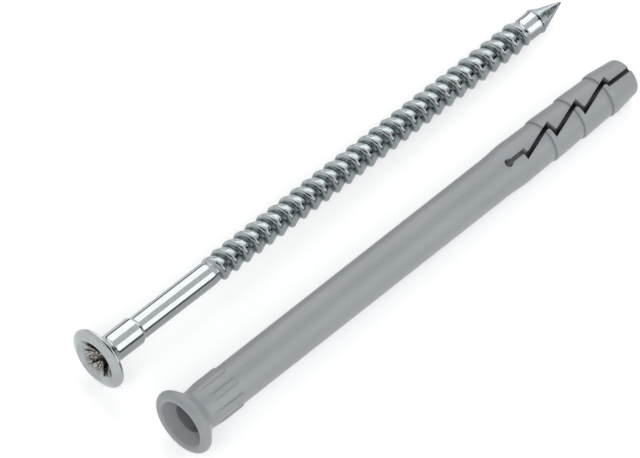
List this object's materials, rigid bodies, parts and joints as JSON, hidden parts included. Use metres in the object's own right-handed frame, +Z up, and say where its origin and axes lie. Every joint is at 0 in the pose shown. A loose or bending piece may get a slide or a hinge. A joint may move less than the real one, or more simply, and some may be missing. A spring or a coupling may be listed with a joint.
{
  "type": "hammer fixing plug",
  "caption": "Hammer fixing laid out as a grey plastic plug sleeve with a split barbed end and a zinc-plated threaded nail screw with a cross recess.",
  "frame": {"origin": "middle of the footprint of the two pieces, on the floor", "axes": "+X along both pieces from their heads to their far ends, +Y from the sleeve to the screw, +Z up"},
  "size_m": [0.084, 0.0238, 0.0092],
  "materials": {
    "grey_nylon": "matte",
    "zinc_plated_steel": "polished"
  },
  "bodies": {
    "root": {"plug_sleeve": "grey_nylon", "nail_screw": "zinc_plated_steel"}
  },
  "joints": []
}
